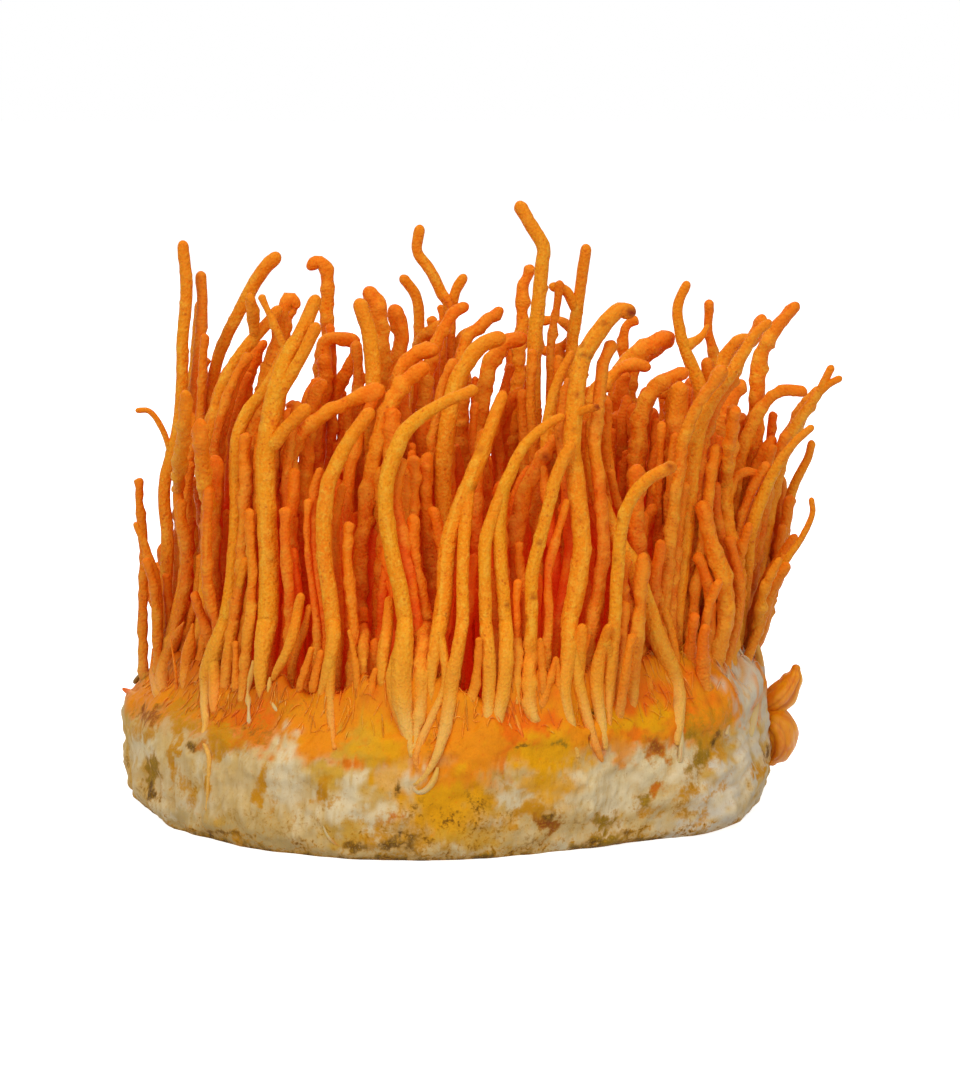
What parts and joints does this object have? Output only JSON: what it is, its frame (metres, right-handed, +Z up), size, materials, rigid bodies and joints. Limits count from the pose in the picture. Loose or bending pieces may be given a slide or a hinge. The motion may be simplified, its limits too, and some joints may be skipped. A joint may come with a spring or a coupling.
{
  "type": "cordyceps bunch",
  "caption": "Thicket of slender orange cordyceps stems, some forked or hooked, standing on a low round cake of grain bound by mycelium, with ear-like lobes on its side.",
  "frame": {"origin": "centre of the cake's flat underside", "axes": "+Z up out of the cake's top, along the stems; -Y towards the side the picture shows; +X towards the side with the ear-like lobes"},
  "size_m": [0.0959, 0.0899, 0.0797],
  "materials": {
    "mycelium_cake": "dull cream felt of mycelium over grain, with ochre, orange and brown patches",
    "stem_ochre": "satin, fine grained, ochre orange fresh stem skin",
    "stem_orange": "satin, knobbly, deep orange fresh stem skin",
    "ear_orange": "moist and slightly glossy, ridged, deep orange skin"
  },
  "bodies": {
    "root": {"culture_cake": "mycelium_cake", "side_ears": "ear_orange", "stem_centre_bowed": "stem_ochre", "stem_centre_bright": "stem_ochre", "stem_centre_left_tall": "stem_ochre", "stem_centre_leg": "stem_ochre", "stem_centre_pointed": "stem_ochre", "stem_centre_thick": "stem_ochre", "stem_centre_twin": "stem_ochre", "stem_centre_upright": "stem_ochre", "stem_front_arched": "stem_ochre", "stem_front_crooked": "stem_ochre", "stem_front_curved": "stem_ochre", "stem_front_right_arched": "stem_ochre", "stem_front_slender": "stem_ochre", "stem_front_split": "stem_ochre", "stem_left_forked": "stem_ochre", "stem_left_front": "stem_ochre", "stem_left_leaning": "stem_ochre", "stem_left_long_hook": "stem_ochre", "stem_left_second": "stem_ochre", "stem_left_tall": "stem_ochre", "stem_right_long": "stem_ochre", "stem_right_outermost": "stem_ochre", "stem_right_rear_long": "stem_ochre", "stem_right_round_tip": "stem_ochre", "stem_right_tall": "stem_ochre", "stem_right_thick": "stem_ochre", "stem_tallest": "stem_ochre", "tuft_back_centre": "stem_orange", "tuft_back_centre_left": "stem_orange", "tuft_back_centre_right": "stem_orange", "tuft_back_left": "stem_orange", "tuft_back_left_outer": "stem_orange", "tuft_back_left_rim": "stem_orange", "tuft_back_outer": "stem_orange", "tuft_back_outer_right": "stem_orange", "tuft_back_right": "stem_orange", "tuft_back_right_outer": "stem_orange", "tuft_back_right_rim": "stem_orange", "tuft_centre_inner": "stem_orange", "tuft_centre_knotted": "stem_orange", "tuft_centre_left_low": "stem_orange", "tuft_centre_looped": "stem_orange", "tuft_centre_right_inner": "stem_orange", "tuft_centre_slanting": "stem_orange", "tuft_front_inner_bent": "stem_orange", "tuft_front_inner_centre": "stem_orange", "tuft_front_inner_left": "stem_orange", "tuft_front_inner_paired": "stem_orange", "tuft_left_hooked": "stem_orange", "tuft_left_inner": "stem_orange", "tuft_left_middle": "stem_orange", "tuft_right_crossing": "stem_orange", "tuft_right_front": "stem_orange", "tuft_right_hooked": "stem_orange", "tuft_right_inner": "stem_orange", "tuft_right_middle": "stem_orange", "tuft_right_rear": "stem_orange", "tuft_right_upright": "stem_orange"}
  },
  "joints": []
}
